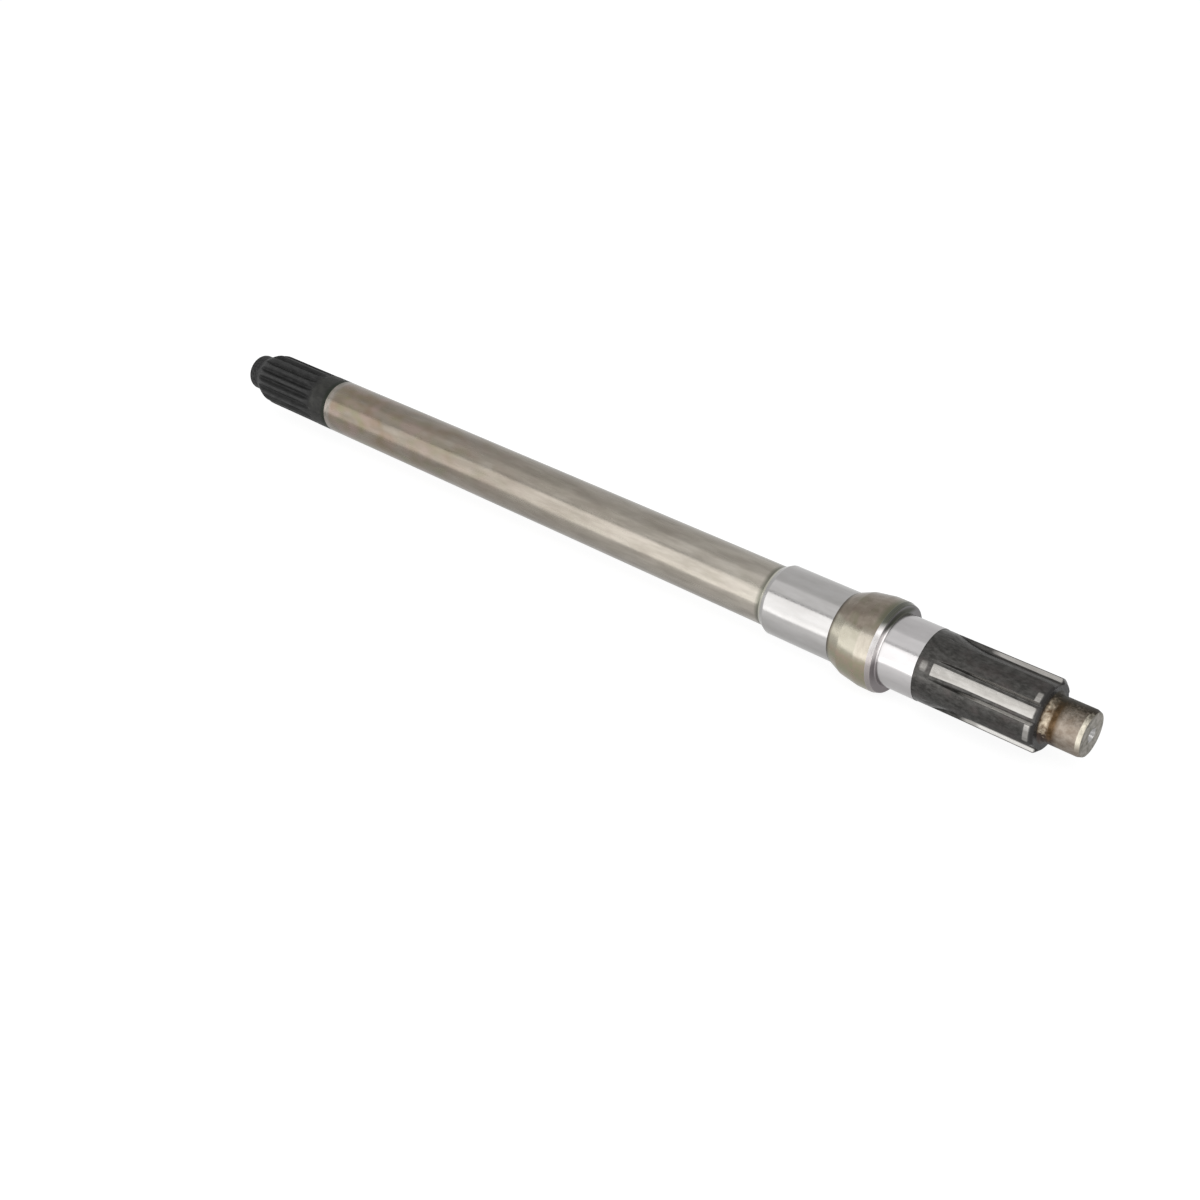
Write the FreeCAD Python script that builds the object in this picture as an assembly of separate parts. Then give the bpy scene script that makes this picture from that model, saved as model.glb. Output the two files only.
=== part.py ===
# Rear axle shaft: one steel bar, forged up at the collar, turned, splined at both
# ends and ground on its two seats. The axis of the shaft is X. The origin is on the
# axis, in the middle of the bearing seat, and +X points at the plain stub end.
# All sizes are in millimetres.
import FreeCAD, Part
import math
import os

# Inner end, which goes into the side gear
pilot_step = 2.6
pilot_length = 7.4
pilot_chamfer = 1.3
lead_cone_length = 8.9
lead_cone_rounding = 15.0

# Fine spline, with flanks inclined like those of an involute spline
fine_teeth = 16
fine_outer_diameter = 30.0
fine_groove_depth = 2.0
fine_pitch_depth = 0.9
fine_tooth_thickness = 2.75
fine_flank_angle = 30.0
fine_root_fillet = 0.35
fine_toothed_length = 46.7
fine_cutter_radius = 30.0

# Plain bar between the fine spline and the seats
body_step = 0.1
body_length = 326.7
lead_in_length = 5.0

# Inner seat, ground for a bush or a seal
inner_seat_diameter = 35.0
inner_seat_length = 37.2

# Collar, with a forged flank and crown and a turned band
collar_flank_diameter = 41.3
collar_flank_length = 7.4
collar_crown_length = 9.6
collar_diameter = 44.4
collar_band_length = 9.1
collar_chamfer_length = 2.3
collar_chamfer_depth = 0.8
flank_root_fillet = 1.2
flank_top_fillet = 3.0
crown_end_fillet = 6.0

# Bearing seat, ground, against the flat face of the collar
bearing_seat_diameter = 35.0
bearing_seat_length = 18.9
bearing_root_fillet = 0.6

# Straight-sided drive spline. The angle is that of one groove, from +Z towards -Y
drive_teeth = 5
drive_groove_angle = 59.0
drive_outer_diameter = 34.6
drive_groove_depth = 2.475
drive_tooth_width = 10.7
drive_root_fillet = 0.6
drive_plain_length = 7.0
drive_toothed_length = 51.5
drive_end_chamfer = 1.8
drive_cutter_radius = 80.0

# Plain stub at the outer end
stub_diameter = 21.9
stub_length = 18.6
stub_chamfer_length = 2.0
stub_chamfer_depth = 0.7
stub_root_fillet = 1.4

# Centre holes for the lathe, one in each end face
centre_mouth_diameter = 6.7
centre_cone_angle = 60.0
centre_drill_diameter = 3.2
centre_drill_depth = 8.0

# How far a cutter stands past the surface that it leaves
cutter_overrun = 3.0

# The pilot is slimmer than the floors of the fine spline, and the bar a little
# thicker than its teeth
fine_root_radius = fine_outer_diameter / 2 - fine_groove_depth
pilot_radius = fine_root_radius - pilot_step
body_radius = fine_outer_diameter / 2 + body_step

# Stations along the shaft, from the inner end face
pilot_end = pilot_length
cone_end = pilot_end + lead_cone_length
fine_end = cone_end + fine_toothed_length
body_end = fine_end + body_length
inner_seat_start = body_end + lead_in_length
inner_seat_end = inner_seat_start + inner_seat_length
flank_end = inner_seat_end + collar_flank_length
crown_end = flank_end + collar_crown_length
collar_face = crown_end + collar_band_length
bearing_seat_end = collar_face + bearing_seat_length
drive_groove_start = bearing_seat_end + drive_plain_length
drive_end = drive_groove_start + drive_toothed_length
shaft_end = drive_end + stub_length
origin_station = (collar_face + bearing_seat_end) / 2

AXIS = FreeCAD.Vector(1, 0, 0)


def point(station, height):
    """A point of the turned outline: its station along the shaft and its distance from the axis."""
    return FreeCAD.Vector(station - origin_station, 0, height)


def rounded_corner(before, corner, after, radius):
    """The arc of the given radius that is tangent to both lines that meet in the corner."""
    back = (before - corner).normalize()
    ahead = (after - corner).normalize()
    half_angle = back.getAngle(ahead) / 2
    trim = radius / math.tan(half_angle)
    inward = (back + ahead).normalize()
    middle = corner + inward * (radius / math.sin(half_angle) - radius)
    return Part.Arc(corner + back * trim, middle, corner + ahead * trim)


def turned_outline(corners):
    """The closed outline through (station, height, corner radius) rows, with its rounded corners.

    Two rows in one place, as where a step between equal diameters comes to nothing, are one corner.
    """
    rows = [corners[0]]
    for corner in corners[1:]:
        if corner[:2] != rows[-1][:2]:
            rows.append(corner)
    spots = [point(station, height) for station, height, radius in rows]
    edges = []
    reached = spots[0]
    for number in range(1, len(spots)):
        spot = spots[number]
        radius = rows[number][2]
        if radius == 0:
            edges.append(Part.LineSegment(reached, spot).toShape())
            reached = spot
            continue
        arc = rounded_corner(spots[number - 1], spot, spots[number + 1], radius)
        edges.append(Part.LineSegment(reached, arc.StartPoint).toShape())
        edges.append(arc.toShape())
        reached = arc.EndPoint
    edges.append(Part.LineSegment(reached, spots[0]).toShape())
    return Part.Wire(edges)


def turned_blank():
    """The shaft as it leaves the lathe and the grinder, before its splines are cut."""
    outline = turned_outline([
        (0, 0, 0),
        (0, pilot_radius - pilot_chamfer, 0),
        (pilot_chamfer, pilot_radius, 0),
        (pilot_end, pilot_radius, 0),
        (cone_end, fine_outer_diameter / 2, lead_cone_rounding),
        (fine_end, fine_outer_diameter / 2, 0),
        (fine_end, body_radius, 0),
        (body_end, body_radius, 0),
        (inner_seat_start, inner_seat_diameter / 2, 0),
        (inner_seat_end, inner_seat_diameter / 2, flank_root_fillet),
        (flank_end, collar_flank_diameter / 2, flank_top_fillet),
        (crown_end, collar_diameter / 2, crown_end_fillet),
        (collar_face - collar_chamfer_length, collar_diameter / 2, 0),
        (collar_face, collar_diameter / 2 - collar_chamfer_depth, 0),
        (collar_face, bearing_seat_diameter / 2, bearing_root_fillet),
        (bearing_seat_end, bearing_seat_diameter / 2, 0),
        (bearing_seat_end, drive_outer_diameter / 2, 0),
        (drive_end - drive_end_chamfer, drive_outer_diameter / 2, 0),
        (drive_end, drive_outer_diameter / 2 - drive_end_chamfer, 0),
        (drive_end, stub_diameter / 2, stub_root_fillet),
        (shaft_end - stub_chamfer_length, stub_diameter / 2, 0),
        (shaft_end, stub_diameter / 2 - stub_chamfer_depth, 0),
        (shaft_end, 0, 0),
    ])
    return Part.Face(outline).revolve(point(0, 0), AXIS, 360)


def groove_section(station, teeth, root_radius, mouth_radius, flank_radius, flank_half_width,
                   flank_angle, fillet):
    """The face of a spline cutter that cuts one groove, centred on +Z.

    Each flank is a straight line at flank_angle to the middle plane of its tooth, flank_half_width
    from that plane at flank_radius. The floor is an arc about the shaft's axis, and a fillet joins
    it to each flank: its centre is fillet away from the flank and root_radius + fillet from the axis.
    """
    slope = math.radians(flank_angle)
    reach = fillet + flank_half_width * math.cos(slope) + flank_radius * math.sin(slope)
    bearing = math.asin(reach / (root_radius + fillet)) - slope
    centre_across = (root_radius + fillet) * math.sin(bearing)
    centre_height = (root_radius + fillet) * math.cos(bearing)
    on_floor = (root_radius * math.sin(bearing), root_radius * math.cos(bearing))
    on_flank = (centre_across - fillet * math.cos(slope), centre_height - fillet * math.sin(slope))
    middle_angle = (slope + math.pi / 2 - bearing) / 2
    on_fillet = (centre_across - fillet * math.cos(middle_angle),
                 centre_height - fillet * math.sin(middle_angle))
    at_mouth = (flank_half_width - (mouth_radius - flank_radius) * math.tan(slope), mouth_radius)

    half_pitch = math.pi / teeth

    def placed(spot, side):
        across = spot[0] * math.cos(half_pitch) - spot[1] * math.sin(half_pitch)
        height = spot[0] * math.sin(half_pitch) + spot[1] * math.cos(half_pitch)
        return FreeCAD.Vector(station - origin_station, side * across, height)

    floor_middle = FreeCAD.Vector(station - origin_station, 0, root_radius)
    edges = [
        Part.LineSegment(placed(at_mouth, 1), placed(on_flank, 1)),
        Part.Arc(placed(on_flank, 1), placed(on_fillet, 1), placed(on_floor, 1)),
        Part.Arc(placed(on_floor, 1), floor_middle, placed(on_floor, -1)),
        Part.Arc(placed(on_floor, -1), placed(on_fillet, -1), placed(on_flank, -1)),
        Part.LineSegment(placed(on_flank, -1), placed(at_mouth, -1)),
        Part.LineSegment(placed(at_mouth, -1), placed(at_mouth, 1)),
    ]
    return Part.Face(Part.Wire([edge.toShape() for edge in edges]))


def groove_cutter(section, straight_length, root_radius, depth, cutter_radius, away):
    """What a disc cutter takes out: a straight groove, and its run-out on the cutter's own radius.

    away is the direction along X in which the straight part leaves the section.
    """
    station = section.BoundBox.XMin
    straight = section.extrude(AXIS * (away * straight_length))
    lift_angle = math.degrees(math.acos((cutter_radius - depth - cutter_overrun) / cutter_radius))
    cutter_centre = FreeCAD.Vector(station, 0, root_radius + cutter_radius)
    run_out = section.revolve(cutter_centre, FreeCAD.Vector(0, 1, 0), away * lift_angle)
    return straight.fuse(run_out)


def run_out_length(depth, cutter_radius):
    """How far a disc cutter that is depth deep reaches past its own centre along the surface."""
    return math.sqrt(depth * (2 * cutter_radius - depth))


def around(cutter, teeth, first_angle):
    """Copies of one cutter, evenly spaced about the shaft's axis from the first angle on."""
    copies = []
    for number in range(teeth):
        turned = cutter.copy()
        turned.rotate(FreeCAD.Vector(0, 0, 0), AXIS, first_angle + 360.0 * number / teeth)
        copies.append(turned)
    return copies


def fine_spline_cutters():
    """The grooves of the fine spline, open through the cone at the inner end."""
    tip_radius = fine_outer_diameter / 2
    full_depth_end = fine_end - run_out_length(fine_groove_depth, fine_cutter_radius)
    section = groove_section(
        full_depth_end, fine_teeth, fine_root_radius, tip_radius + cutter_overrun,
        tip_radius - fine_pitch_depth, fine_tooth_thickness / 2, fine_flank_angle, fine_root_fillet)
    cutter = groove_cutter(
        section, full_depth_end + cutter_overrun, fine_root_radius, fine_groove_depth,
        fine_cutter_radius, -1)
    return around(cutter, fine_teeth, 0.0)


def drive_spline_cutters():
    """The grooves of the drive spline, open at the shoulder of the stub."""
    tip_radius = drive_outer_diameter / 2
    root_radius = tip_radius - drive_groove_depth
    full_depth_start = drive_groove_start + run_out_length(drive_groove_depth, drive_cutter_radius)
    section = groove_section(
        full_depth_start, drive_teeth, root_radius, tip_radius + cutter_overrun,
        tip_radius, drive_tooth_width / 2, 0.0, drive_root_fillet)
    cutter = groove_cutter(
        section, drive_end - full_depth_start + cutter_overrun, root_radius, drive_groove_depth,
        drive_cutter_radius, 1)
    return around(cutter, drive_teeth, drive_groove_angle)


def centre_hole(face_station, inward):
    """A countersunk centre hole in an end face, with a drilled bottom. inward is its way along X."""
    half_angle = math.radians(centre_cone_angle / 2)
    mouth_radius = centre_mouth_diameter / 2
    drill_radius = centre_drill_diameter / 2
    cone_depth = (mouth_radius - drill_radius) / math.tan(half_angle)
    tip_depth = centre_drill_depth + drill_radius / math.tan(math.radians(59))
    outline = turned_outline([
        (face_station, 0, 0),
        (face_station, mouth_radius, 0),
        (face_station + inward * cone_depth, drill_radius, 0),
        (face_station + inward * centre_drill_depth, drill_radius, 0),
        (face_station + inward * tip_depth, 0, 0),
    ])
    return Part.Face(outline).revolve(point(0, 0), AXIS, 360)


def axle_shaft():
    """The finished shaft: the turned blank less its splines and centre holes."""
    cutters = fine_spline_cutters() + drive_spline_cutters()
    cutters.append(centre_hole(0, 1))
    cutters.append(centre_hole(shaft_end, -1))
    return turned_blank().cut(cutters)


shaft = axle_shaft()
os.makedirs("parts", exist_ok=True)
shaft.exportStep("parts/axle_shaft.step")
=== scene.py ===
import math

import bpy
import numpy as np
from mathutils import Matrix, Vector


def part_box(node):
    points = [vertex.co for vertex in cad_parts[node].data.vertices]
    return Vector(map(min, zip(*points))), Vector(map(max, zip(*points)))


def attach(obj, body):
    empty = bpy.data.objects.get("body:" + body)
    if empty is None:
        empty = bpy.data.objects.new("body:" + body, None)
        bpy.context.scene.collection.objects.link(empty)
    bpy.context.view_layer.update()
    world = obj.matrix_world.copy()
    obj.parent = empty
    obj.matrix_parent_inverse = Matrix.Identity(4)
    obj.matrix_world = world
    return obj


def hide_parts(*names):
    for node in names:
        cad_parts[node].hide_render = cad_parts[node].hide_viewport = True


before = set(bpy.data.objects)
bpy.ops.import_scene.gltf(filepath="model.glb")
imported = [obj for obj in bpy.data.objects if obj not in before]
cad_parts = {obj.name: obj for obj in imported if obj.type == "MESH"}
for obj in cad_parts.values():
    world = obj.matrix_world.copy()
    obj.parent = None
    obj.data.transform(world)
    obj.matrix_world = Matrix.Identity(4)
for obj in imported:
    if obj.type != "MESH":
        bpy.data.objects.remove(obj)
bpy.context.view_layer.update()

# The turned bar
# The real shaft is one steel bar, forged up at the collar and turned between centres.
# Its outline is a row of stations along the axis, each with a radius, and is swept
# round the X axis. Stations and radii are in millimetres from the inner end face.
MILLIMETRE = 0.001
inner_end_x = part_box("axle_shaft")[0].x
shaft_end = (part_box("axle_shaft")[1].x - inner_end_x) / MILLIMETRE
collar_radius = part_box("axle_shaft")[1].z / MILLIMETRE
centre_mouth_radius = 3.35

pilot_radius = 10.4
pilot_chamfer = 1.3
pilot_end = 7.4
cone_end = 16.3
fine_tip_radius = 15.0
fine_end = 63.0
fine_full_depth_end = fine_end - 10.8
oxide_end = 76.2
bar_radius = 15.1
bar_end = 389.7
seat_radius = 17.5
inner_seat_start = 394.7
inner_seat_end = 431.9
flank_end = 439.3
crown_end = 448.9
band_end = 455.7
collar_face = 458.0
bearing_seat_end = 476.9
drive_tip_radius = 17.3
drive_groove_start = 483.9
drive_full_depth_start = drive_groove_start + 19.7
drive_end = 535.4
end_mark_start = drive_end - 4.6
end_mark_full = drive_end - 3.8
tooth_end_chamfer = 1.8
stub_radius = 10.95
stub_chamfer_length = 2.0
stub_chamfer_depth = 0.7


def swept_outline(corners, arc_rows):
    """The outline as (station, radius) rows.

    Each corner is (station, radius, rounding, rows of the straight run that leads up to it). A corner with
    a rounding r and an opening angle a is cut back by r / tan(a / 2) on both sides, and an arc of radius r
    joins the two cuts.
    """
    spots = np.array([corner[:2] for corner in corners], float)
    rows = [spots[:1]]
    for number in range(1, len(spots)):
        rounding, run_rows = corners[number][2:]
        start = rows[-1][-1]
        corner = spots[number]
        run = np.linspace(0, 1, run_rows + 1)[1:, None]
        if rounding == 0:
            rows.append(start + (corner - start) * run)
            continue
        back = spots[number - 1] - corner
        ahead = spots[number + 1] - corner
        back /= np.linalg.norm(back)
        ahead /= np.linalg.norm(ahead)
        half = math.acos(np.clip(back @ ahead, -1, 1)) / 2
        inward = (back + ahead) / np.linalg.norm(back + ahead)
        across = (ahead - back) / np.linalg.norm(ahead - back)
        middle = corner + inward * rounding / math.sin(half)
        cut = corner + back * rounding / math.tan(half)
        rows.append(start + (cut - start) * run)
        turn = np.linspace(-1, 1, arc_rows + 1)[1:, None] * (math.pi / 2 - half)
        rows.append(middle + rounding * (across * np.sin(turn) - inward * np.cos(turn)))
    return np.vstack(rows)


centre_hole_in = [
    (8.96, 0.0, 0, 1), (8.0, 1.6, 0, 2), (3.03, 1.6, 0, 4), (0.0, centre_mouth_radius, 0.12, 3)]
centre_hole_out = [(shaft_end - depth, radius, 0, 3) for depth, radius, _, _ in centre_hole_in[::-1]]
outline = swept_outline(centre_hole_in + [
    (0.0, pilot_radius - pilot_chamfer, 0.3, 3),
    (pilot_chamfer, pilot_radius, 0.4, 1),
    (pilot_end, pilot_radius, 0.8, 3),
    (cone_end, fine_tip_radius, 15.0, 12),
    (fine_full_depth_end, fine_tip_radius, 0, 6),
    (fine_end, fine_tip_radius, 0, 16),
    (fine_end + 1.0, bar_radius, 0, 1),
    (oxide_end, bar_radius, 0, 2),
    (bar_end + 1.5, bar_radius, 2.0, 20),
    (inner_seat_start + 0.7, seat_radius, 1.0, 3),
    (inner_seat_end, seat_radius, 1.2, 4),
    (flank_end, 20.65, 3.0, 3),
    (crown_end, collar_radius, 6.0, 5),
    (band_end, collar_radius, 0.25, 3),
    (collar_face, collar_radius - 0.8, 0, 2),
    (collar_face, seat_radius, 0.6, 3),
    (bearing_seat_end, seat_radius, 0.12, 4),
    (bearing_seat_end + 0.2, drive_tip_radius, 0, 1),
    (drive_groove_start, drive_tip_radius, 0, 3),
    (drive_full_depth_start, drive_tip_radius, 0, 20),
    (end_mark_start, drive_tip_radius, 0, 5),
    (end_mark_full, drive_tip_radius, 0, 1),
    (drive_end - tooth_end_chamfer, drive_tip_radius, 0.25, 2),
    (drive_end, drive_tip_radius - tooth_end_chamfer, 0.3, 3),
    (drive_end, stub_radius, 1.4, 3),
    (shaft_end - stub_chamfer_length, stub_radius, 0.6, 4),
    (shaft_end, stub_radius - stub_chamfer_depth, 0.3, 2),
] + centre_hole_out, arc_rows=4)
station, blank_radius = outline[1:-1].T

# The two splines
# Sixteen fine teeth with inclined flanks are cut at the inner end, and five wide
# teeth with parallel sides at the outer end. A disc cutter leaves each groove on its
# own radius, so the floors rise out of the bar in a long run-out.
fine_teeth = 16
drive_teeth = 5
LINES_AROUND = 320       # both splines' teeth share them out evenly


def flank_height(from_tooth_middle, half_width, at_radius, slope):
    """The radius at which a flank meets a ray at this angle from the middle plane of its tooth.

    The flank is the line across = half_width - (height - at_radius) * tan(slope).
    """
    reach = half_width + at_radius * math.tan(slope)
    return reach / (np.sin(from_tooth_middle) + np.cos(from_tooth_middle) * math.tan(slope))


def flank_angle(radius, half_width, at_radius, slope):
    """The angle from the tooth's middle plane at which its flank has this radius."""
    reach = half_width * math.cos(slope) + at_radius * math.sin(slope)
    return np.arcsin(np.clip(reach / radius, -1, 1)) - slope


def rounded_meeting(first, second, width, outer):
    """The outer (or inner) of two heights, with the corner between them rounded over this width.

    Where they lie less than width apart, (width - apart)^2 / (4 width) is added on that side.
    """
    side = 1.0 if outer else -1.0
    near = np.clip(1 - np.abs(first - second) / width, 0, None)
    return side * (np.maximum(side * first, side * second) + near * near * width / 4)


def cut_spline(teeth, first_groove, counts, root_radius, tooth, full_depth_station, cutter_radius, away,
               root_round, edge_round=0.3):
    """Angles and radii of the lines round the shaft where one spline is cut.

    first_groove is the angle of the first groove. counts are the intervals over half a pitch: floor, root
    corner, flank, tooth edge and land. tooth is the half width, the radius where it is measured and the
    slope of the flank. Past the station of full depth, on the side given by away, the floor rises on the
    cutter's circle: lift = R - sqrt(R^2 - d^2). The radius is the inner one of the bar and the lifted
    groove.
    """
    half_pitch = math.pi / teeth
    beyond = np.clip((station - full_depth_station) * away, 0, cutter_radius * 0.9)
    lift = cutter_radius - np.sqrt(cutter_radius ** 2 - beyond ** 2)
    floor_angle = np.full_like(station, half_pitch - flank_angle(root_radius, *tooth))
    mouth_angle = half_pitch - flank_angle(np.maximum(blank_radius - lift, root_radius), *tooth)
    root_span = np.minimum(root_round / root_radius, floor_angle * 0.6)
    edge_span = edge_round / blank_radius
    breaks = np.stack([
        floor_angle * 0,
        floor_angle - root_span,
        floor_angle + root_span * 0.25,
        mouth_angle + root_span * 0.25 - edge_span * 0.8,
        mouth_angle + root_span * 0.25 + edge_span * 1.2,
        floor_angle * 0 + half_pitch,
    ], axis=1)
    breaks = np.maximum.accumulate(breaks, axis=1)
    shares = [(number, np.linspace(0, 1, count, endpoint=False)) for number, count in enumerate(counts)]
    half = np.concatenate([
        breaks[:, [number]] * (1 - share) + breaks[:, [number + 1]] * share for number, share in shares
    ], axis=1)
    middle = np.full((len(station), 1), half_pitch)
    pitch = np.concatenate([-middle, -half[:, :0:-1], half], axis=1)
    turns = first_groove + np.arange(teeth) * 2 * half_pitch
    angle = (turns[None, :, None] + pitch[:, None, :]).reshape(len(station), -1)
    local = np.tile(np.abs(pitch), (1, teeth))
    flank = flank_height(half_pitch - local, *tooth)
    outside_bar = 99.0
    groove = rounded_meeting(np.where(flank > 0, flank, outside_bar), root_radius, root_round, outer=True)
    bar = np.repeat(blank_radius[:, None], angle.shape[1], axis=1)
    return angle, rounded_meeting(bar, groove + lift[:, None], edge_round, outer=False)


fine_angle, fine_radius = cut_spline(
    fine_teeth, first_groove=0.0, counts=(2, 2, 2, 2, 2), root_radius=13.0,
    tooth=(1.375, 14.1, math.radians(30)), full_depth_station=fine_full_depth_end, cutter_radius=30.0,
    away=1, root_round=0.5)
drive_angle, drive_radius = cut_spline(
    drive_teeth, first_groove=math.radians(13), counts=(8, 6, 5, 5, 8), root_radius=14.825,
    tooth=(5.35, drive_tip_radius, 0.0), full_depth_station=drive_full_depth_start, cutter_radius=80.0,
    away=-1, root_round=0.8)

# Between the splines the lines turn from the one's first line to the other's.
first_line = np.interp(station, (fine_end, drive_groove_start), (fine_angle[0, 0], drive_angle[0, 0]))
angle = first_line[:, None] + np.arange(LINES_AROUND) / LINES_AROUND * 2 * math.pi
radius = np.repeat(blank_radius[:, None], LINES_AROUND, axis=1)
in_fine = (station > pilot_end) & (station < fine_end + 0.5) & (blank_radius > pilot_radius + 0.5)
in_drive = (station > drive_groove_start - 0.5) & (station <= drive_end) & (blank_radius > stub_radius + 2)
angle[in_fine] = fine_angle[in_fine]
radius[in_fine] = fine_radius[in_fine]
angle[in_drive] = drive_angle[in_drive]
radius[in_drive] = drive_radius[in_drive]


def closed_skin(name, tips):
    """A closed mesh through the rings of points (station, radius * sin(angle), radius * cos(angle)).

    Four neighbours make a face, and a fan round a point on the axis closes each end.
    """
    rings, lines = angle.shape
    points = np.empty((rings, lines, 3))
    points[..., 0] = station[:, None]
    points[..., 1] = radius * np.sin(angle)
    points[..., 2] = radius * np.cos(angle)
    points = np.vstack([points.reshape(-1, 3), [[tip, 0, 0] for tip in tips]]) * MILLIMETRE
    points[:, 0] += inner_end_x
    index = np.arange(rings * lines).reshape(rings, lines)
    beside = np.roll(index, -1, axis=1)
    quads = np.stack([index[:-1], index[1:], beside[1:], beside[:-1]], axis=-1).reshape(-1, 4)
    first = np.stack([np.full(lines, rings * lines), index[0], beside[0]], axis=1)
    last = np.stack([np.full(lines, rings * lines + 1), beside[-1], index[-1]], axis=1)
    mesh = bpy.data.meshes.new(name)
    mesh.from_pydata(points.tolist(), [], quads.tolist() + first.tolist() + last.tolist())
    mesh.shade_smooth()
    mesh.set_sharp_from_angle(angle=math.radians(42))
    skin = bpy.data.objects.new(name, mesh)
    bpy.context.scene.collection.objects.link(skin)
    return skin


shaft = closed_skin("axle_shaft_skin", (outline[0, 0], outline[-1, 0]))

# Where the splines are rubbed, and where highlights are painted
# The hub has rubbed the skin off the drive spline's flanks. The floor of the front groove,
# the tooth ends beside it and a patch of the ring before it are painted bright: a painted
# reflection of the front light on the floor and painted highlights on the tooth ends and
# the ring. The fine lands are rubbed a little. A place across a tooth is a count of lines.
line_number = np.arange(LINES_AROUND)
half_turn = LINES_AROUND // 2
fine_pitch = LINES_AROUND // fine_teeth
drive_pitch = LINES_AROUND // drive_teeth
front_groove = 4
front_middle = front_groove * drive_pitch + drive_pitch // 2
up_from_front = (line_number - front_middle + half_turn) % LINES_AROUND - half_turn
on_front_pitch = line_number // drive_pitch == front_groove
from_groove_middle = np.abs(line_number % drive_pitch - drive_pitch // 2)
from_fine_groove = np.abs(line_number % fine_pitch - fine_pitch // 2)

# The flanks under the hub are worn bare, and one flank of each groove is made brighter still, a painted
# reflection of the front light.
brighter_flank_side = line_number % drive_pitch <= drive_pitch // 2
flank = np.interp(from_groove_middle, (13, 14.5, 18, 19), (0, 1, 1, 0)) * np.where(brighter_flank_side, 1.6, 1.05)
under_hub = np.interp(station, (drive_groove_start + 12, drive_groove_start + 26), (0, 1))
# Painted reflection: only the floor of the groove that faces the front light is made bright.
front_floor_highlight = np.interp(from_groove_middle, (5.8, 6.8), (1, 0)) * on_front_pitch
along_floor = np.interp(
    station, (drive_groove_start, drive_groove_start + 0.8, drive_end - 3.3, drive_end - 1.5), (0, 1, 1, 0))
# Painted highlights on the tooth ends beside the front groove.
tooth_end_highlight = np.interp(
    up_from_front, (-39, -36, -20, -18.5, 18.5, 20, 29, 32), (0, 0.62, 0.62, 0, 0, 0.62, 0.62, 0))
by_end = np.interp(station, (end_mark_start, end_mark_full, drive_end - 1.6, drive_end - 1.0), (0, 1, 1, 0))
rubbed_and_highlight = front_floor_highlight * along_floor[:, None] + flank * under_hub[:, None]
rubbed_and_highlight = np.maximum(rubbed_and_highlight, tooth_end_highlight * by_end[:, None]) * in_drive[:, None]

# Painted highlight on the ring before the front groove.
ring_highlight_across = np.interp(from_groove_middle, (3, 16), (1, 0)) * on_front_pitch
ring_highlight = np.interp(station, (bearing_seat_end + 0.5, bearing_seat_end + 1.5), (0, 0.46))
ring_highlight *= (station > bearing_seat_end) & (station < drive_groove_start - 0.2)
rubbed_and_highlight += ring_highlight_across * ring_highlight[:, None]

fine_land = np.interp(from_fine_groove, (5, 8), (0, 1)) * in_fine[:, None]
rubbed_and_highlight += fine_land * np.interp(station, (fine_end - 9, fine_end), (1, 0))[:, None]
rubbed_and_highlight_points = shaft.data.attributes.new("rubbed_and_highlight", "FLOAT", "POINT")
rubbed_and_highlight_points.data.foreach_set("value", np.append(rubbed_and_highlight.ravel(), (0, 0)).astype(np.float32))

# How the finishes are made
# Every finish is bare or darkened steel. Its patterns are noise in the shaft's own
# coordinates, drawn out along the axis for handling marks and across it for the
# rings that a lathe or a grinding wheel leaves.


def feed(socket, value):
    """Link the socket to another one, or set it to a constant. A colour is given without its alpha."""
    if isinstance(value, bpy.types.NodeSocket):
        socket.id_data.links.new(value, socket)
    elif socket.type == "RGBA":
        socket.default_value = (*value, 1.0)
    else:
        socket.default_value = value


def add_node(material, kind, values, **settings):
    """A shader node with its settings, and with each named input fed with a value or a socket."""
    node = material.node_tree.nodes.new(kind)
    for key, value in settings.items():
        setattr(node, key, value)
    for key, value in values.items():
        feed(node.inputs[key], value)
    return node


def noise(material, length, width, seed, detail=3.0, contrast=(0.35, 0.65)):
    """Noise from 0 to 1 whose patches are length millimetres along the shaft and width across it."""
    own = add_node(material, "ShaderNodeTexCoord", {}).outputs["Object"]
    scale = (1 / (length * MILLIMETRE), 1 / (width * MILLIMETRE), 1 / (width * MILLIMETRE))
    moved = add_node(material, "ShaderNodeMapping", {
        "Vector": own, "Location": (seed, seed * 1.7, seed * 2.3), "Scale": scale})
    pattern = add_node(material, "ShaderNodeTexNoise", {
        "Vector": moved.outputs["Vector"], "Scale": 1.0, "Detail": detail, "Roughness": 0.6})
    return between(material, pattern.outputs["Fac"], contrast[0], contrast[1])


def between(material, value, low, high, first=0.0, last=1.0, clamp=True):
    """The value carried from the range low to high on to the range first to last.

    It is held at the ends of that range if clamped.
    """
    return add_node(material, "ShaderNodeMapRange", {
        "Value": value, "From Min": low, "From Max": high, "To Min": first, "To Max": last,
    }, clamp=clamp).outputs["Result"]


def place(material, axis):
    """The place along one of the shaft's own axes, in millimetres from the inner end or the centre line."""
    own = add_node(material, "ShaderNodeTexCoord", {}).outputs["Object"]
    metres = add_node(material, "ShaderNodeSeparateXYZ", {"Vector": own}).outputs[axis]
    zero = inner_end_x if axis == "X" else 0.0
    return between(material, metres, zero, zero + 1.0, 0.0, 1 / MILLIMETRE, clamp=False)


def along_shaft(material, start, end, first=0.0, last=1.0):
    """A value that runs from first to last between two stations of the shaft."""
    return between(material, place(material, "X"), start, end, first, last)


def mixed(material, share, first, second):
    """Two colours mixed by a share from 0 to 1."""
    node = material.node_tree.nodes.new("ShaderNodeMix")
    node.data_type = "RGBA"
    for number, value in ((0, share), (6, first), (7, second)):
        feed(node.inputs[number], value)
    return node.outputs[2]


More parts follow.
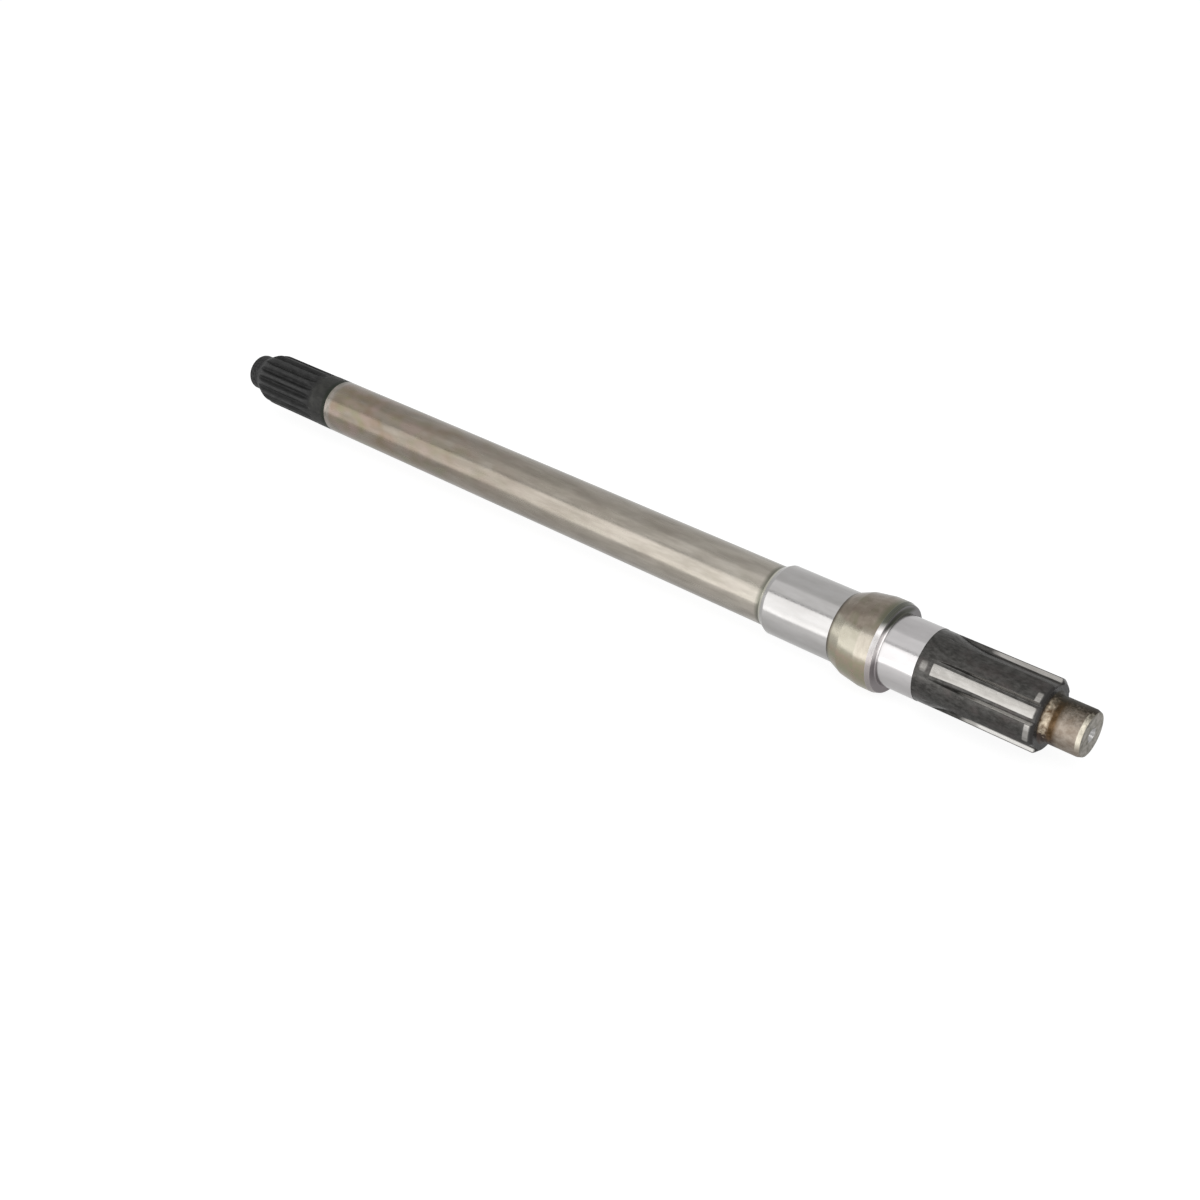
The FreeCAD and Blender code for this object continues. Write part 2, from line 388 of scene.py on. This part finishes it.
def calculated(material, operation, first, second):
    """The result of one arithmetic operation on two values."""
    node = add_node(material, "ShaderNodeMath", {0: first, 1: second}, operation=operation)
    return node.outputs["Value"]


def finish(name, colour, roughness, relief, depth, metallic=1.0, specular=0.5):
    """A steel finish with a colour, a roughness and a relief whose height is depth millimetres."""
    material = finishes[name]
    shader = material.node_tree.nodes["Principled BSDF"]
    bump = add_node(material, "ShaderNodeBump", {
        "Strength": 1.0, "Distance": depth * MILLIMETRE, "Height": relief})
    for key, value in (("Base Color", colour), ("Roughness", roughness), ("Metallic", metallic),
                       ("Specular IOR Level", specular), ("Normal", bump.outputs["Normal"])):
        feed(shader.inputs[key], value)


finishes = {}
for name in ("black_oxide", "bar_steel", "ground_steel", "forged_collar", "drive_steel", "stub_steel"):
    finishes[name] = bpy.data.materials.new(name)
    finishes[name].use_nodes = True
    shaft.data.materials.append(finishes[name])

# Black oxide on the inner end
# The fine spline, its pilot and a short plain neck are blackened. The oxide is a dull
# skin, speckled on the pilot, blackest in the grooves, greyer on the lands and the
# neck, and it ends in a darker, greenish margin.
oxide = finishes["black_oxide"]
deep = mixed(oxide, noise(oxide, 6, 2, 1.0), (0.006, 0.006, 0.006), (0.016, 0.016, 0.016))
rubbed_land = add_node(oxide, "ShaderNodeAttribute", {}, attribute_name="rubbed_and_highlight").outputs["Fac"]
worn_black = mixed(oxide, noise(oxide, 5, 1.5, 39.0), (0.018, 0.018, 0.018), (0.034, 0.034, 0.034))
speckles = noise(oxide, 1.2, 1.2, 40.0, contrast=(0.4, 0.6))
speckled = mixed(oxide, speckles, (0.003, 0.003, 0.003), (0.026, 0.026, 0.026))
spline_black = mixed(oxide, rubbed_land, deep, worn_black)
black = mixed(oxide, along_shaft(oxide, pilot_end + 1.0, cone_end), speckled, spline_black)
grey = mixed(oxide, noise(oxide, 5, 3, 1.5), (0.016, 0.016, 0.015), (0.030, 0.030, 0.027))
neck = mixed(oxide, along_shaft(oxide, oxide_end - 3.5, oxide_end - 2.2), grey, (0.010, 0.013, 0.008))
finish("black_oxide",
       mixed(oxide, along_shaft(oxide, fine_end - 3, fine_end + 1), black, neck),
       between(oxide, noise(oxide, 5, 3, 2.0), 0, 1, 0.45, 0.6),
       noise(oxide, 1.5, 0.5, 3.0), 0.02, metallic=0.0, specular=0.11)

# The plain bar
# The bar is turned and polished, and has dulled, least beside the seat. Its first part
# keeps the brown, olive and mauve tints of the heat that blackened the spline. The corner
# of the lead-in to the seat is painted dark, painted shade.
bar = finishes["bar_steel"]
pale = mixed(bar, along_shaft(bar, 90, 390), (0.182, 0.156, 0.126), (0.345, 0.322, 0.285))
dull = mixed(bar, along_shaft(bar, 90, 390), (0.132, 0.110, 0.085), (0.255, 0.236, 0.206))
clean = mixed(bar, noise(bar, 26, 5, 4.0), dull, pale)
brown_or_olive = mixed(
    bar, noise(bar, 14, 8, 26.0, detail=1.0), (0.150, 0.108, 0.068), (0.150, 0.142, 0.084))
tint = mixed(bar, noise(bar, 12, 8, 27.0, detail=1.0), brown_or_olive, (0.205, 0.155, 0.132))
tinted = calculated(bar, "MULTIPLY", along_shaft(bar, 100, 240, 1.0, 0.1),
                    noise(bar, 14, 8, 28.0, detail=1.0, contrast=(0.3, 0.56)))
margin = mixed(bar, noise(bar, 2.5, 5, 29.0), (0.150, 0.140, 0.115), (0.235, 0.205, 0.185))
past_margin = along_shaft(bar, oxide_end + 3.0, oxide_end + 5.5)
plain = mixed(bar, past_margin, margin, mixed(bar, tinted, clean, tint))
by_seat = along_shaft(bar, bar_end + 2.9, bar_end + 3.7)
pale_edge = mixed(bar, by_seat, (0.42, 0.41, 0.35), (0.345, 0.338, 0.333))
# Painted shade: a dark ring in the corner of the lead-in, then a pale ring before the seat.
lead_in_with_corner_shade = mixed(bar, along_shaft(bar, bar_end + 1.7, bar_end + 2.3), (0.140, 0.137, 0.112), pale_edge)
finish("bar_steel",
       mixed(bar, along_shaft(bar, bar_end - 1.0, bar_end + 1.0), plain, lead_in_with_corner_shade),
       between(bar, noise(bar, 40, 2.5, 5.0), 0, 1, 0.20, 0.28),
       noise(bar, 0.6, 40, 6.0), 0.002, metallic=along_shaft(bar, 80, 330, 0.6, 1.0))

# The ground seats
# Both seats, the collar's outer face and its chamfer are ground bright, and the wheel
# leaves very fine rings. The face is duller, and it and the chamfer carry painted light: a
# painted highlight on the chamfer, a painted reflection of the seat on the face at mid
# height, painted shade at the seat's root, at the top and on the far side, and darker
# mauve-grey below.
ground = finishes["ground_steel"]
by_bearing = along_shaft(ground, band_end - 10, band_end)
low = mixed(ground, by_bearing, (0.325, 0.317, 0.310), (0.385, 0.374, 0.374))
high = mixed(ground, by_bearing, (0.365, 0.357, 0.352), (0.42, 0.408, 0.408))
bright = mixed(ground, noise(ground, 20, 6, 7.0), low, high)
height = place(ground, "Z")
sideways = place(ground, "Y")
# Painted highlight: the chamfer is lighter above and darker below.
chamfer_painted_highlight = mixed(ground, between(ground, height, 5, 11), (0.275, 0.252, 0.247), (0.54, 0.52, 0.515))
# Painted reflection: the face is light at mid height, with painted shade at the top and far side and darker
# below.
flat_painted_reflection = mixed(ground, between(ground, height, 1, 8), (0.27, 0.246, 0.250), (0.85, 0.82, 0.81))
far_side_painted_shade = calculated(ground, "MAXIMUM", between(ground, height, 13, 17), between(ground, sideways, -3, 3))
flat = mixed(ground, far_side_painted_shade, flat_painted_reflection, (0.22, 0.212, 0.215))
on_flat = along_shaft(ground, collar_face - 0.05, collar_face - 0.01)
squares = [calculated(ground, "MULTIPLY", side, side) for side in (height, sideways)]
from_axis = calculated(ground, "SQRT", calculated(ground, "ADD", *squares), 0)
ragged_height = calculated(ground, "ADD", height, noise(ground, 3, 4, 34.0, contrast=(-1.4, 3.0)))
# Painted shade: dark in the corner at the seat's root and at the top of the outer edge.
root_painted_shade = calculated(ground, "MULTIPLY", between(ground, from_axis, 21.0, 19.6),
                     between(ground, ragged_height, 14.5, 17))
top_edge_painted_shade = calculated(ground, "MULTIPLY", between(ground, from_axis, 21.0, 21.4),
                     between(ground, ragged_height, 16.5, 19.5))
face_painted_shade = calculated(ground, "MAXIMUM", root_painted_shade, top_edge_painted_shade)
face = mixed(ground, face_painted_shade, mixed(ground, on_flat, chamfer_painted_highlight, flat), (0.085, 0.088, 0.072))
on_face = calculated(ground, "MULTIPLY", along_shaft(ground, band_end - 0.1, band_end + 0.1),
                     along_shaft(ground, collar_face + 0.55, collar_face + 0.7, 1.0, 0.0))
duller = calculated(ground, "MULTIPLY", on_face, between(ground, on_flat, 0, 1, 0.12, 0.32))
finish("ground_steel",
       mixed(ground, on_face, bright, face),
       calculated(ground, "ADD", between(ground, noise(ground, 0.5, 40, 8.0), 0, 1, 0.14, 0.20), duller),
       noise(ground, 0.4, 40, 9.0), 0.001)

# The forged collar
# The flank and crown of the collar keep a brown, blotchy heat stain over the forged
# surface. It is painted darker above, painted shade, and pale cream on the near side, a
# painted highlight, with olive below. The band behind the face is turned.
collar = finishes["forged_collar"]
ragged_height = calculated(
    collar, "ADD", place(collar, "Z"), noise(collar, 3, 4, 36.0, contrast=(-0.2, 1.2)))
under_side = between(collar, ragged_height, 5.0, 1.0)
brown = mixed(collar, noise(collar, 6, 5, 10.0), (0.160, 0.133, 0.108), (0.215, 0.186, 0.154))
# Painted shade: the darker stain is used on the upper part.
stain_in_painted_shade = mixed(collar, noise(collar, 5, 9, 30.0, contrast=(0.5, 0.8)), brown, (0.145, 0.140, 0.095))
olive = mixed(collar, noise(collar, 4, 4, 38.0), (0.255, 0.205, 0.160), (0.215, 0.210, 0.140))
# Painted highlight: the pale cream on the near side.
cream_painted_highlight = mixed(collar, noise(collar, 6, 5, 35.0), (0.250, 0.234, 0.190), (0.285, 0.268, 0.222))
near_side_with_highlight = mixed(collar, under_side, cream_painted_highlight, olive)
crown = mixed(collar, between(collar, ragged_height, 15.6, 14.2), stain_in_painted_shade, near_side_with_highlight)
turned = mixed(collar, noise(collar, 4, 9, 31.0), (0.26, 0.236, 0.198), (0.33, 0.303, 0.258))
near_band = mixed(collar, under_side, turned, olive)
band = mixed(collar, between(collar, ragged_height, 17.0, 14.5), stain_in_painted_shade, near_band)
olive_edge = calculated(collar, "MULTIPLY", between(collar, ragged_height, 18.0, 20.0),
                        along_shaft(collar, band_end - 3.5, band_end - 1.0))
band = mixed(collar, olive_edge, band, (0.120, 0.118, 0.085))
past_crown = along_shaft(collar, crown_end - 0.5, crown_end + 0.5)
# Painted shade: the foot of the flank, in the corner by the seat, is dark.
past_root = along_shaft(collar, inner_seat_end + 0.4, inner_seat_end + 2.0)
finish("forged_collar",
       mixed(collar, past_root, (0.085, 0.074, 0.060), mixed(collar, past_crown, crown, band)),
       between(collar, noise(collar, 4, 4, 11.0), 0, 1, 0.20, 0.28),
       noise(collar, 2, 2, 12.0), 0.008)

# The drive spline
# The teeth and the ring in front of them keep a dark heat-treatment skin. Where the
# hub has rubbed, the skin is gone and the cut steel shows, drawn along the grooves. The same
# bright steel, brightest on one flank of each groove, also carries the painted highlights and
# the painted reflection of the front light. The ends of the teeth are a dull black.
drive = finishes["drive_steel"]
soot = mixed(drive, noise(drive, 3, 1.5, 13.0), (0.034, 0.033, 0.031), (0.068, 0.066, 0.063))
warm = mixed(drive, noise(drive, 3, 2, 32.0), (0.045, 0.040, 0.037), (0.080, 0.070, 0.069))
skin = mixed(drive, noise(drive, 9, 6, 33.0, contrast=(0.5, 0.8)), soot, warm)
# The attribute carries both the hub's wear and the painted highlights and reflection.
wear_and_highlight = add_node(drive, "ShaderNodeAttribute", {}, attribute_name="rubbed_and_highlight").outputs["Fac"]
cut_floor = mixed(drive, noise(drive, 15, 2, 16.0), (0.24, 0.23, 0.215), (0.31, 0.30, 0.285))
cut = mixed(drive, between(drive, wear_and_highlight, 1.1, 1.4), cut_floor, (0.52, 0.51, 0.49))
ragged = calculated(drive, "ADD", wear_and_highlight, noise(drive, 6, 1.5, 24.0, contrast=(-0.9, 2.1)))
teeth = mixed(drive, between(drive, ragged, 0.75, 1.15), skin, cut)
on_end = along_shaft(drive, drive_end - tooth_end_chamfer, drive_end - 0.8)
finish("drive_steel",
       mixed(drive, on_end, teeth, (0.034, 0.032, 0.031)),
       between(drive, noise(drive, 3, 1.5, 17.0), 0, 1, 0.26, 0.38),
       noise(drive, 1.5, 0.8, 18.0), 0.008,
       metallic=calculated(drive, "SUBTRACT", 1.0, on_end),
       specular=between(drive, on_end, 0, 1, 0.5, 0.11))

# The stub
# The stub has a tan tarnish and a ring of rust and scale at its root where the hub left it
# bare. The scale is bright above, partly a painted highlight, and the root is darker towards
# the bottom. Its back side is painted near black, painted shade, and the upper part of its
# end chamfer carries a painted highlight.
stub = finishes["stub_steel"]
tan = mixed(stub, noise(stub, 3, 2.5, 19.0), (0.175, 0.142, 0.112), (0.26, 0.226, 0.190))
rust = mixed(stub, noise(stub, 2, 2, 22.0), (0.050, 0.030, 0.014), (0.105, 0.066, 0.036))
scale = mixed(stub, noise(stub, 2.5, 2.5, 25.0), (0.12, 0.080, 0.050), (0.46, 0.395, 0.305))
end = mixed(stub, noise(stub, 2.5, 2.5, 23.0), (0.13, 0.122, 0.098), (0.30, 0.280, 0.250))
ragged_height = calculated(
    stub, "ADD", place(stub, "Z"), calculated(stub, "MULTIPLY", noise(stub, 1.5, 1.5, 41.0), 5.0))
rust_ring = mixed(stub, between(stub, ragged_height, 0.0, -4.0), rust, (0.040, 0.026, 0.024))
# Painted highlight above and darker below on the scale at the root.
scale_ring_lit_and_shaded = mixed(stub, between(stub, ragged_height, 2.5, -0.5), scale, (0.060, 0.042, 0.034))
root = mixed(stub, along_shaft(stub, drive_end + 2.8, drive_end + 4.0), scale_ring_lit_and_shaded, rust_ring)
side = mixed(stub, along_shaft(stub, drive_end + 5.8, drive_end + 8.5), root, tan)
# Painted highlight on the upper part of the end chamfer.
on_rim = along_shaft(stub, shaft_end - 2.2, shaft_end - 1.9)
rim_painted_highlight = calculated(stub, "MULTIPLY", on_rim, between(stub, place(stub, "Z"), -4, 1))
side = mixed(stub, rim_painted_highlight, side, (0.58, 0.54, 0.45))
# Painted shade: the back side of the stub is near black, with a speckled edge.
speckle = calculated(stub, "MULTIPLY", noise(stub, 1.2, 1.2, 37.0), 4.0)
unshaded_side = between(stub, calculated(stub, "ADD", place(stub, "Y"), speckle), 2.5, -6.5)
side = mixed(stub, unshaded_side, (0.030, 0.025, 0.017), side)
finish("stub_steel",
       mixed(stub, along_shaft(stub, shaft_end - 0.25, shaft_end - 0.05), side, end),
       between(stub, noise(stub, 4, 3, 20.0), 0, 1, 0.42, 0.54),
       noise(stub, 1, 1, 21.0), 0.01)

# Which finish is where
# The finishes change at the shaft's own edges, except that the black oxide stops on
# the plain bar. The outer centre hole is as clean as the bar.
OXIDE, BAR, GROUND, COLLAR, DRIVE, STUB = range(6)
zone_ends = [
    oxide_end, inner_seat_start + 0.4, inner_seat_end, band_end, bearing_seat_end, drive_end + 0.01]
zone_finish = np.array([OXIDE, BAR, GROUND, COLLAR, GROUND, DRIVE, STUB])
between_rings = (station[:-1] + station[1:]) / 2
ring_finish = zone_finish[np.searchsorted(zone_ends, between_rings)]
in_hole = np.maximum(blank_radius[:-1], blank_radius[1:]) < centre_mouth_radius + 0.05
ring_finish[in_hole & (between_rings > drive_end)] = BAR
face_finish = np.repeat(np.concatenate([ring_finish, [OXIDE, BAR]]), LINES_AROUND)
shaft.data.polygons.foreach_set("material_index", face_finish.astype(np.int32))

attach(shaft, "root")
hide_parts("axle_shaft")

# The table
# The shaft lies on its collar over a white table. The camera sees it as nearly plain
# white with a faint shadow, and the steel mirrors the shadow more strongly. The table
# is brighter on the near side of the seats, which mirror it.
floor_z = -collar_radius * MILLIMETRE


def seen_directly(material, off_steel=1.0):
    """1 for a ray from the camera, off_steel for one off polished steel, and 0 for scattered light."""
    path = add_node(material, "ShaderNodeLightPath", {}).outputs
    mirrored = calculated(material, "MULTIPLY", path["Is Glossy Ray"], off_steel)
    seen = calculated(material, "MAXIMUM", path["Is Camera Ray"], mirrored)
    return calculated(material, "MAXIMUM", seen, path["Is Transmission Ray"])


bpy.ops.mesh.primitive_plane_add(size=16, location=(0, 0, floor_z))
table = bpy.context.object
table.name = "table"
white = bpy.data.materials.new("white_table")
white.use_nodes = True
white.node_tree.nodes.clear()
matt = add_node(white, "ShaderNodeBsdfDiffuse", {"Color": (0.85, 0.85, 0.85)})
own = add_node(white, "ShaderNodeTexCoord", {}).outputs["Object"]
here = add_node(white, "ShaderNodeSeparateXYZ", {"Vector": own}).outputs
by_seats = calculated(
    white, "MULTIPLY", between(white, here["Y"], -0.018, -0.055), between(white, here["X"], -0.30, -0.12))
strength = between(white, by_seats, 0, 1, 1.2, 2.0)
glow = add_node(white, "ShaderNodeEmission", {"Color": (1, 1, 1), "Strength": strength})
share = calculated(white, "MULTIPLY", seen_directly(white, 0.7), 0.74)
surface = add_node(white, "ShaderNodeMixShader", {0: share, 1: matt.outputs[0], 2: glow.outputs[0]})
add_node(white, "ShaderNodeOutputMaterial", {"Surface": surface.outputs[0]})
table.data.materials.append(white)

# Light
# The shaft is in a white tent. A soft box on the table in front of it makes one bright
# band along the steel with the table it lights, and its black rim makes a thin dark
# line. A weaker light hangs above, and one over the camera that the chamfers mirror.
world = bpy.data.worlds.new("white_tent")
bpy.context.scene.world = world
world.use_nodes = True
tent = world.node_tree.nodes["Background"]
feed(tent.inputs["Color"], (1, 1, 1))
feed(tent.inputs["Strength"], between(world, seen_directly(world), 0, 1, 0.55, 1.0))


def soft_box(name, size, middle, tilt, radiance):
    """A flat light of this size, turned up by tilt degrees from facing down.

    Its power is radiance * pi * area, so its face adds this radiance to the tent behind it. The camera does
    not see it.
    """
    lamp = bpy.data.lights.new(name, "AREA")
    lamp.shape = "RECTANGLE"
    lamp.size, lamp.size_y = size
    lamp.energy = radiance * math.pi * size[0] * size[1]
    box = bpy.data.objects.new(name, lamp)
    bpy.context.scene.collection.objects.link(box)
    box.location = middle
    box.rotation_euler.x = math.radians(tilt)
    box.visible_camera = False


soft_box("front_box", (3.45, 0.93), (-1.575, -1.00, floor_z + 0.465), 90, 1.5)
soft_box("lit_table", (3.45, 0.91), (-1.575, -0.545, floor_z + 0.002), 180, 1.6)
soft_box("top_box", (6.0, 0.93), (-0.3, -0.53, 1.20), 0, 0.37)
soft_box("over_camera", (1.65, 0.62), (0.98, -0.70, 1.21), 0, 1.2)
bpy.ops.mesh.primitive_plane_add(size=1, location=(-0.3, -1.0, floor_z + 0.965))
rim_of_box = bpy.context.object
rim_of_box.name = "front_box_rim"
rim_of_box.rotation_euler.x = math.pi / 2
rim_of_box.scale = (6.0, 0.06, 1.0)
rim_of_box.visible_camera = False
rim_black = bpy.data.materials.new("rim_black")
rim_black.use_nodes = True
feed(rim_black.node_tree.nodes["Principled BSDF"].inputs["Base Color"], (0.01, 0.01, 0.01))
rim_of_box.data.materials.append(rim_black)

# Camera
# The camera looks down along the shaft from beside its outer end, level, at 47 mm.
camera_data = bpy.data.cameras.new("camera")
camera_data.lens = 47.44
camera_data.sensor_width = 36
camera = bpy.data.objects.new("camera", camera_data)
bpy.context.scene.collection.objects.link(camera)
camera.location = (inner_end_x + 0.75336, -0.53093, 0.40011)
looked_at = Vector((inner_end_x + 0.30695, -0.03189, floor_z))
camera.rotation_euler = (looked_at - camera.location).to_track_quat("-Z", "Y").to_euler()
bpy.context.scene.camera = camera
bpy.context.scene.view_settings.view_transform = "Standard"
